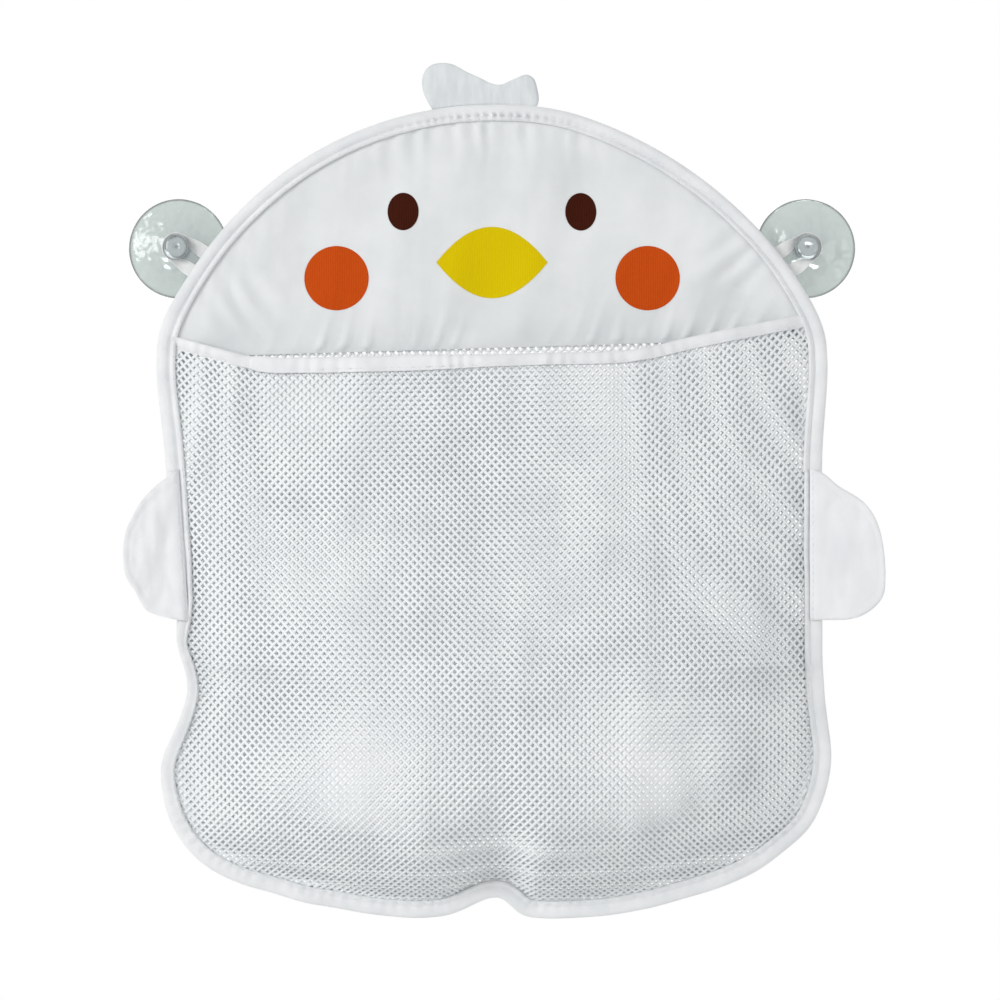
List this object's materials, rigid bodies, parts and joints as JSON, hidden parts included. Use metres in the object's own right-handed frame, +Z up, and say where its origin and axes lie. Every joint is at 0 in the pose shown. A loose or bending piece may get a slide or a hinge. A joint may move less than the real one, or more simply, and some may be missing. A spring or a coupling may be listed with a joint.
{
  "type": "bath toy organizer",
  "caption": "Chick-shaped hanging net bag for bath toys: a printed cloth dome over a net pocket, bound with tape, with wing flaps, a crest and suction cups on ribbon loops.",
  "frame": {"origin": "midway between the two suction cups, on the plane of their rims, which is the wall", "axes": "+Z up, +X to the right as seen from the front, +Y into the wall; the bag's front faces -Y"},
  "size_m": [0.3428, 0.057, 0.3842],
  "materials": {
    "cloth": "plain woven polyester",
    "tape": "soft binding tape",
    "net": "knitted polyester net",
    "rod": "plain",
    "felt": "brushed felt",
    "ribbon": "satin ribbon",
    "soft_plastic": "clear soft vinyl",
    "yellow_print": "printed",
    "brown_print": "printed",
    "orange_print": "printed"
  },
  "bodies": {
    "bag": {"face_panel": "cloth", "upper_binding": "tape", "boning": "rod", "lower_binding": "tape", "back_net": "net", "beak_print": "yellow_print", "left_eye_print": "brown_print", "right_eye_print": "brown_print", "left_cheek_print": "orange_print", "right_cheek_print": "orange_print"},
    "pocket": {"front_net": "net", "mouth_hem": "tape"},
    "left_wing": {"left_wing": "cloth"},
    "right_wing": {"right_wing": "cloth"},
    "tuft": {"tuft": "felt"},
    "left_loop": {"left_loop": "ribbon"},
    "right_loop": {"right_loop": "ribbon"},
    "left_cup": {"left_cup": "soft_plastic"},
    "right_cup": {"right_cup": "soft_plastic"}
  },
  "joints": [
    {"name": "pocket_open", "type": "hinge", "parent": "bag", "child": "pocket", "pos_m": [0, -0.0143, -0.29727], "axis": [1, 0, 0], "range_deg": [0, 10], "stiffness_Nm_per_rad": 0.15, "springref_deg": -6.88},
    {"name": "left_wing_fold", "type": "hinge", "parent": "bag", "child": "left_wing", "pos_m": [-0.14195, -0.01515, -0.13462], "axis": [-0.1002, 0, 0.995], "range_deg": [0, 90]},
    {"name": "right_wing_fold", "type": "hinge", "parent": "bag", "child": "right_wing", "pos_m": [0.14522, -0.01515, -0.13462], "axis": [-0.0412, 0, -0.9992], "range_deg": [0, 90]},
    {"name": "tuft_bend", "type": "hinge", "parent": "bag", "child": "tuft", "pos_m": [0, -0.0122, 0.06417], "axis": [1, 0, 0], "range_deg": [-45, 45], "stiffness_Nm_per_rad": 0.01},
    {"name": "left_loop_swing", "type": "hinge", "parent": "bag", "child": "left_loop", "pos_m": [-0.1277, -0.0098, -0.00953], "axis": [-0.5541, 0, -0.8324], "range_deg": [0, 35]},
    {"name": "right_loop_swing", "type": "hinge", "parent": "bag", "child": "right_loop", "pos_m": [0.1277, -0.0098, -0.00953], "axis": [-0.5541, 0, 0.8324], "range_deg": [0, 35]},
    {"name": "left_cup_turn", "type": "hinge", "parent": "left_loop", "child": "left_cup", "pos_m": [-0.14201, 0, 0], "axis": [0, 1, 0], "continuous": true},
    {"name": "right_cup_turn", "type": "hinge", "parent": "right_loop", "child": "right_cup", "pos_m": [0.14201, 0, 0], "axis": [0, 1, 0], "continuous": true}
  ]
}
